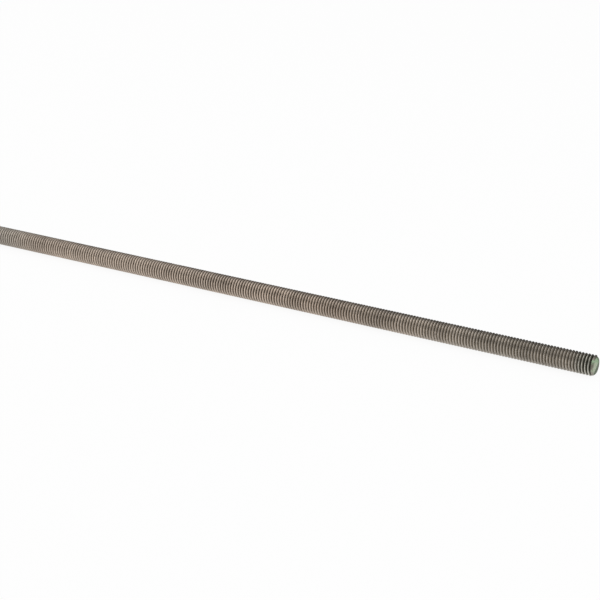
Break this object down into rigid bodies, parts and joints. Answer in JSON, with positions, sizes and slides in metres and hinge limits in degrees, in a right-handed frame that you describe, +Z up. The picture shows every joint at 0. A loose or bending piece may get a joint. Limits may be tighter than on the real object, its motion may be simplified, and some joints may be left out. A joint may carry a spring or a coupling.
{
  "type": "threaded rod",
  "caption": "Straight steel rod with a right-hand thread over its whole length and both ends chamfered, for nuts, hangers and clamps.",
  "frame": {"origin": "centre of the plain end's face, on the rod's axis", "axes": "+X runs along the rod to the colour-marked end, +Z is up as the rod lies"},
  "size_m": [0.9144, 0.0126, 0.0126],
  "materials": {
    "steel": "rolled thread, warm grey and slightly tarnished, with green marking paint on one end"
  },
  "bodies": {
    "root": {"rod": "steel"}
  },
  "joints": []
}
